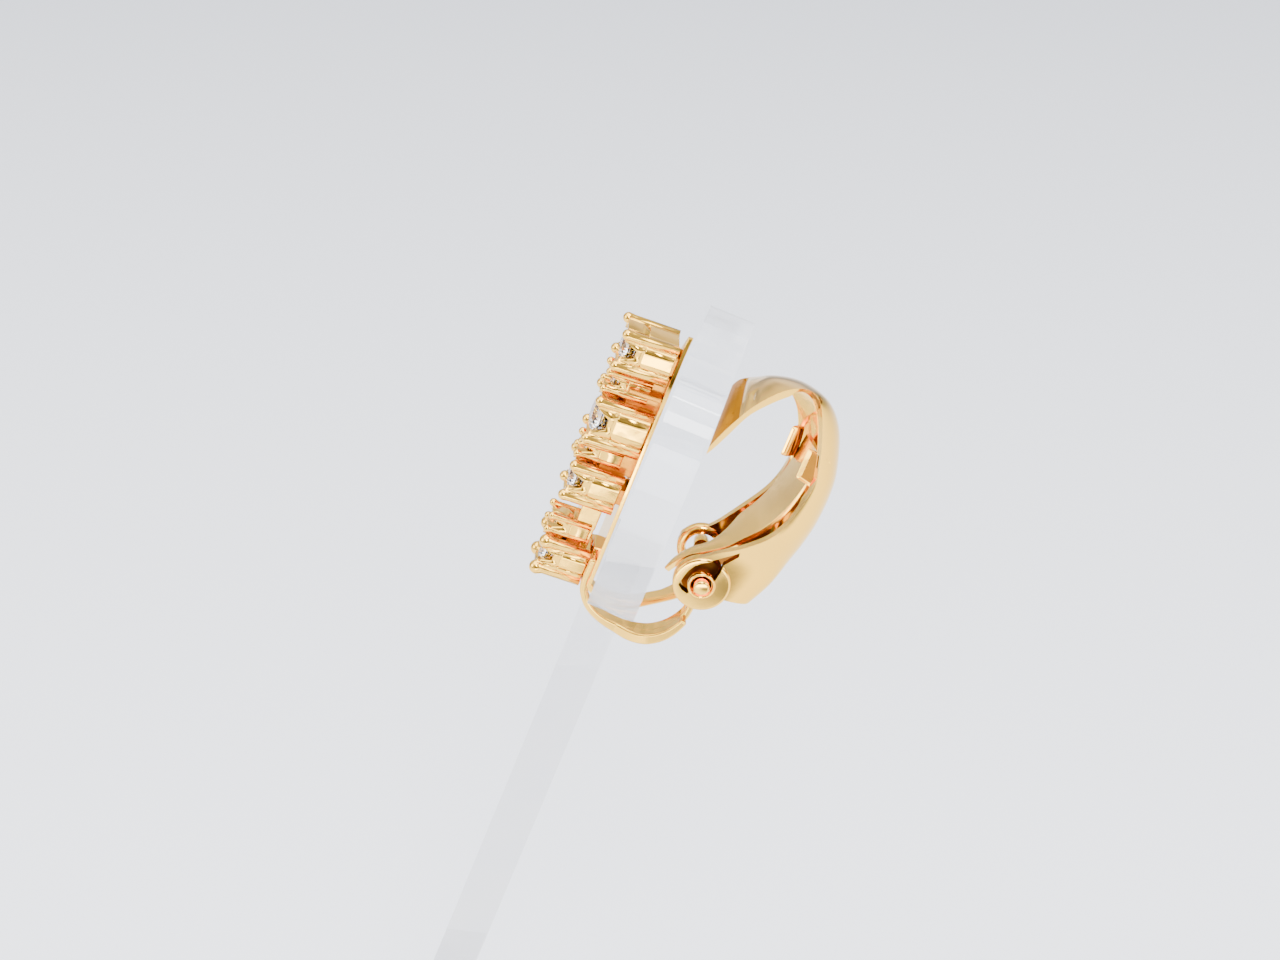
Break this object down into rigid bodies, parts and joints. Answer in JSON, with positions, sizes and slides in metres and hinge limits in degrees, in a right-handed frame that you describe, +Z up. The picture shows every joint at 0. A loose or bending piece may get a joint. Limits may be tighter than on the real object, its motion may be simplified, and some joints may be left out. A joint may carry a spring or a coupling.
{
  "type": "clip-on earring on a clear display stand",
  "caption": "Stone-set clip-on earring with a hinged spring paddle, gripping the edge of a leaning clear display stand.",
  "frame": {"origin": "underside of the foot plate, under the foot of the stem", "axes": "+Z up, -Y the way the earring's front faces, +X toward the side the picture was taken from"},
  "size_m": [0.028, 0.0366, 0.0665],
  "materials": {
    "gold_plate": "bright gold plate, polished",
    "stone": "clear, cut and polished",
    "clear_plastic": "clear polished plastic sheet"
  },
  "bodies": {
    "stand_and_front": {"setting": "gold_plate", "stone_1": "stone", "stone_2": "stone", "stone_3": "stone", "stone_4": "stone", "stone_5": "stone", "stone_6": "stone", "stone_7": "stone", "display_head": "clear_plastic", "display_stem": "clear_plastic", "display_base": "clear_plastic"},
    "clip_paddle": {"paddle": "gold_plate", "spring_strip": "gold_plate"}
  },
  "joints": [
    {"name": "clip_hinge", "type": "hinge", "parent": "stand_and_front", "child": "clip_paddle", "pos_m": [0.0055, 0.02229, 0.05043], "axis": [-0.9877, -0.1464, 0.055], "range_deg": [0, 55]}
  ]
}
